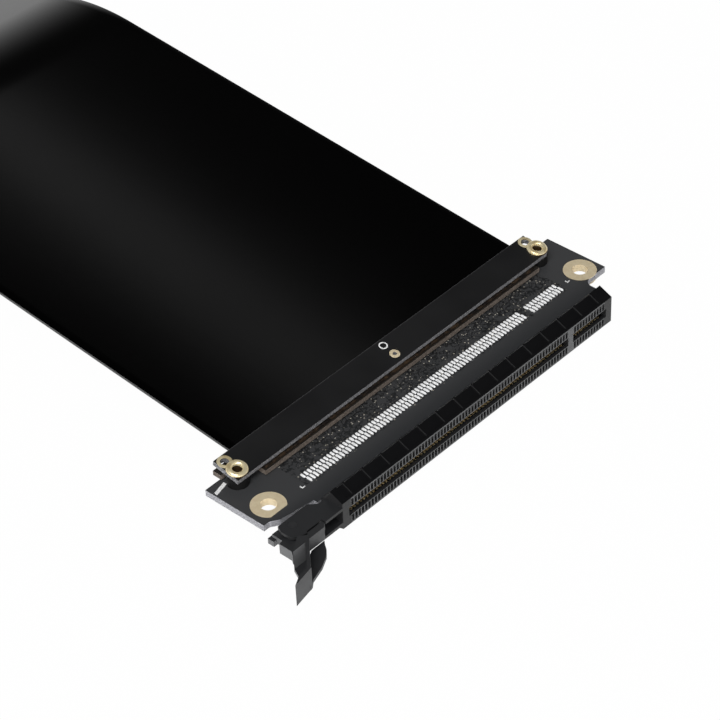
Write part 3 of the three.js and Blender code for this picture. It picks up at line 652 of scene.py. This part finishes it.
def buildRibbon(shape):
    s = ribbonSize
    half = s["thickness"] / 2
    corner = s["cornerShare"] * half
    cut = s["cornerCut"] * corner
    width = s["right"] - s["left"]
    section = []
    for k in range(s["across"] + 1):
        x = s["left"] + corner + (width - 2 * corner) * k / s["across"]
        section.append((x, half))
    section += [(s["right"] - cut, half - cut), (s["right"], half - corner)]
    section += [(s["right"], -half + corner), (s["right"] - cut, -half + cut)]
    for k in range(s["across"] + 1):
        x = s["right"] - corner - (width - 2 * corner) * k / s["across"]
        section.append((x, -half))
    section += [(s["left"] + cut, -half + cut), (s["left"], -half + corner)]
    section += [(s["left"], half - corner), (s["left"] + cut, half - cut)]
    points = ribbonWay()
    rings = []
    for i, (y, z) in enumerate(points):
        before = points[max(i - 1, 0)]
        after = points[min(i + 1, len(points) - 1)]
        slope = math.atan2(after[1] - before[1], after[0] - before[0])
        ring = [shape.verts.new((x, y - h * math.sin(slope), z + h * math.cos(slope))) for x, h in section]
        rings.append(ring)
    count = len(section)
    for lower, upper in zip(rings, rings[1:]):
        for k in range(count):
            n = (k + 1) % count
            shape.faces.new((lower[k], upper[k], upper[n], lower[n]))
    shape.faces.new(rings[0])
    shape.faces.new(rings[-1])


ribbonPiece = addPiece("ribbonSheet", meshOf("ribbonSheet", buildRibbon), "ribbon", smooth=40)
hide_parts("ribbon")
print("ribbon made")


# solder joints: two rows, the front one a little to the right
joints = {
    "fieldHalf": 41.5, "beforeKey": 11, "count": 82, "keySkip": 2.0,
    "halfWidth": 0.28, "top": 5.7, "height": 0.36, "sides": 12,
    "squareness": 0.45,  # 1 is an ellipse, 0 a rectangle
    "swell": 0.05, "swellTurn": 2.4,  # each joint's width differs a little
    "profile": ((1.0, 0.0), (0.96, 0.4), (0.8, 0.8), (0.45, 0.97)),  # shares of outline and height
    "rear": {"y": 4.4, "half": 0.7, "shift": 0.0},
    "front": {"y": 2.78, "half": 0.88, "shift": 0.19},
}


def contactX(index):
    past = joints["keySkip"] if index >= joints["beforeKey"] else 0.0
    return joints["fieldHalf"] - index - past


def buildJoints(row):
    def build(shape):
        for index in range(joints["count"]):
            x = contactX(index) + row["shift"]
            swell = 1 + joints["swell"] * math.sin(index * joints["swellTurn"])
            rings = []
            for share, rise in joints["profile"]:
                ring = []
                for k in range(joints["sides"]):
                    angle = 2 * math.pi * (k + 0.5) / joints["sides"]
                    c, t = math.cos(angle), math.sin(angle)
                    c = math.copysign(abs(c) ** joints["squareness"], c)
                    t = math.copysign(abs(t) ** joints["squareness"], t)
                    px = x + joints["halfWidth"] * share * c * swell
                    py = row["y"] + row["half"] * (share * 0.9 + 0.1) * t
                    pz = joints["top"] + joints["height"] * rise
                    ring.append(shape.verts.new((px * mm, py * mm, pz * mm)))
                rings.append(ring)
            peak = shape.verts.new((x * mm, row["y"] * mm, (joints["top"] + joints["height"]) * mm))
            for lower, upper in zip(rings, rings[1:]):
                for k in range(joints["sides"]):
                    n = (k + 1) % joints["sides"]
                    shape.faces.new((lower[k], lower[n], upper[n], upper[k]))
            for k in range(joints["sides"]):
                shape.faces.new((rings[-1][k], rings[-1][(k + 1) % joints["sides"]], peak))
            shape.faces.new(rings[0])
    return build


for name in ("rear", "front"):
    title = name + "SolderJoints"
    addPiece(title, meshOf(title, buildJoints(joints[name])), "tin", smooth=50)
print("solder joints made")

# on the covers: eyelets with rolled rims, plated rings and a printed ring
cover = {
    "frontY": 11.1, "frontZ": 8.9, "tiltDeg": 11.15,
    "plugTopZ": 5.8,
    "ringInner": 0.97, "ringOuter": 1.72, "ringY": 16.5, "ringXs": (-52.0, 45.95),
    "dotX": -2.5, "dotY": 13.35, "dotInner": 0.5, "dotOuter": 1.2,
    "printX": -2.6, "printY": 16.6, "printInner": 0.72, "printOuter": 1.05,
    "sides": 40, "plateHeight": 0.05, "printHeight": 0.02, "sink": 0.02,
}
eyelets = {
    "slot": {"xs": (("slot_left_eyelet", -51.55), ("slot_right_eyelet", 46.4)), "y": 13.4, "foot": 3.7},
    "plug": {"xs": (("plug_left_eyelet", 47.95), ("plug_right_eyelet", -50.0)), "y": 224.37, "foot": 0.0},
    "head": ((1.07, -0.1), (1.12, 0.34), (1.32, 0.58), (1.62, 0.69), (1.95, 0.66), (2.24, 0.5), (2.4, 0.26),
             (2.43, 0.06), (2.36, 0.0), (1.5, -0.02), (1.4, -0.1)),
    "bore": 1.07, "wall": 1.45, "footRadius": 2.3, "footBulge": 2.42, "footHeight": 0.4, "underHead": 0.25,
}


def onCover(x, y):
    z = cover["frontZ"] + (y - cover["frontY"]) * math.tan(math.radians(cover["tiltDeg"]))
    turn = Matrix.Rotation(math.radians(cover["tiltDeg"]), 4, "X")
    return Matrix.Translation((x * mm, y * mm, z * mm)) @ turn


def onPlug(x, y):
    return Matrix.Translation((x * mm, y * mm, cover["plugTopZ"] * mm))


# profile: (radius, height) pairs round a vertical axis, closed into one loop
def buildTurned(profile):
    def build(shape):
        sides = cover["sides"]
        rings = []
        for radius, height in profile:
            ring = []
            for k in range(sides):
                angle = 2 * math.pi * k / sides
                point = (radius * mm * math.cos(angle), radius * mm * math.sin(angle), height * mm)
                ring.append(shape.verts.new(point))
            rings.append(ring)
        for lower, upper in zip(rings, rings[1:] + rings[:1]):
            for k in range(sides):
                n = (k + 1) % sides
                shape.faces.new((lower[k], lower[n], upper[n], upper[k]))
    return build


def placed(mesh, matrix):
    mesh.transform(matrix)
    return mesh


def washer(name, inner, outer, matrix, look, height):
    sink = cover["sink"]
    profile = ((inner, -sink), (outer, -sink), (outer, height * 0.6), (outer - 0.05, height), (inner, height))
    addPiece(name, placed(meshOf(name, buildTurned(profile)), matrix), look, smooth=40)


def makeEyelet(node, x, y, foot, matrix):
    name = node.replace("_", "") + "Rolled"
    topZ = matrix.translation.z / mm - eyelets["underHead"]
    rise = eyelets["footHeight"]
    barrel = ((eyelets["bore"], foot), (eyelets["footRadius"], foot), (eyelets["footBulge"], foot + rise / 2),
              (eyelets["footRadius"], foot + rise), (eyelets["wall"], foot + rise + 0.02),
              (eyelets["wall"], topZ), (eyelets["bore"], topZ))
    head = placed(meshOf("head", buildTurned(eyelets["head"])), matrix)
    post = placed(meshOf("post", buildTurned(barrel)), Matrix.Translation((x * mm, y * mm, 0)))
    both = bmesh.new()
    both.from_mesh(head)
    both.from_mesh(post)
    mesh = bpy.data.meshes.new(name)
    both.to_mesh(mesh)
    both.free()
    piece = addPiece(name, mesh, "brass", smooth=45)
    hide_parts(node)


for end, onFace in (("slot", onCover), ("plug", onPlug)):
    for node, x in eyelets[end]["xs"]:
        makeEyelet(node, x, eyelets[end]["y"], eyelets[end]["foot"], onFace(x, eyelets[end]["y"]))
for side, x in zip(("left", "right"), cover["ringXs"]):
    washer(side + "PlatedRing", cover["ringInner"], cover["ringOuter"], onCover(x, cover["ringY"]),
           "brass", cover["plateHeight"])
washer("middlePlatedDot", cover["dotInner"], cover["dotOuter"], onCover(cover["dotX"], cover["dotY"]),
       "plating", cover["plateHeight"])
washer("printedRing", cover["printInner"], cover["printOuter"], onCover(cover["printX"], cover["printY"]),
       "print", cover["printHeight"])
print("eyelets and rings made")

# plain printed marks on the slot board
marks = {
    "z": 5.7, "thick": 0.02,
    "bar": ((-57.2, 14.0), (-53.5, 14.9), (-53.5, 15.8), (-57.2, 14.9)),
    "leftTick": ((-44.4, 1.8), (-43.5, 1.8), (-43.5, 2.1), (-44.1, 2.1), (-44.1, 2.7), (-44.4, 2.7)),
    "rightTick": ((44.6, 3.0), (45.5, 3.0), (45.5, 3.3), (44.9, 3.3), (44.9, 3.9), (44.6, 3.9)),
}


def buildMarks(shape):
    for key in ("bar", "leftTick", "rightTick"):
        loops = []
        for z in (marks["z"] - 0.01, marks["z"] + marks["thick"]):
            loops.append([shape.verts.new((x * mm, y * mm, z * mm)) for x, y in marks[key]])
        count = len(marks[key])
        for k in range(count):
            n = (k + 1) % count
            shape.faces.new((loops[0][k], loops[0][n], loops[1][n], loops[1][k]))
        shape.faces.new(loops[0])
        shape.faces.new(loops[1])


addPiece("printedMarks", meshOf("printedMarks", buildMarks), "print")

# gold fingers on both sides of the plug's tongue
fingers = {
    "fromY": 238.6, "toY": 245.6, "width": 0.7, "thick": 0.03, "sink": 0.01,
    "top": 2.0, "under": 0.4,
    "shortBy": 1.0, "shortOnes": (0, 11, 30, 81),
}


def buildFingers(z, out):
    def build(shape):
        for index in range(joints["count"]):
            x = contactX(index)
            short = fingers["shortBy"] if index in fingers["shortOnes"] else 0.0
            xs = (x - fingers["width"] / 2, x + fingers["width"] / 2)
            ys = (fingers["fromY"], fingers["toY"] - short)
            zs = (z - fingers["sink"] * out, z + fingers["thick"] * out)
            places = [(px * mm, py * mm, pz * mm) for pz in zs for py in ys for px in xs]
            corners = [shape.verts.new(place) for place in places]
            for loop in ((0, 1, 3, 2), (4, 5, 7, 6), (0, 1, 5, 4), (2, 3, 7, 6), (0, 2, 6, 4), (1, 3, 7, 5)):
                shape.faces.new([corners[k] for k in loop])
    return build


addPiece("upperTongueFingers", meshOf("upperTongueFingers", buildFingers(fingers["top"], 1)), "contact")
addPiece("lowerTongueFingers", meshOf("lowerTongueFingers", buildFingers(fingers["under"], -1)), "contact")
print("tongue fingers made")

# softened edges: width on each solid that gets them
softEdges = {
    "slot_housing": 0.06 * mm, "latch_lever": 0.06 * mm,
    "slot_board": 0.05 * mm, "plug_board": 0.05 * mm,
    "slot_cover_strip": 0.05 * mm, "plug_cover_strip": 0.05 * mm,
    "slot_lower_strip": 0.05 * mm, "plug_lower_strip": 0.05 * mm,
}
for name, width in softEdges.items():
    bevel = nodes[name].modifiers.new("edges", "BEVEL")
    bevel.width = width
    bevel.segments = 1
    bevel.limit_method = "ANGLE"
    bevel.angle_limit = math.radians(35)
print("edges softened")
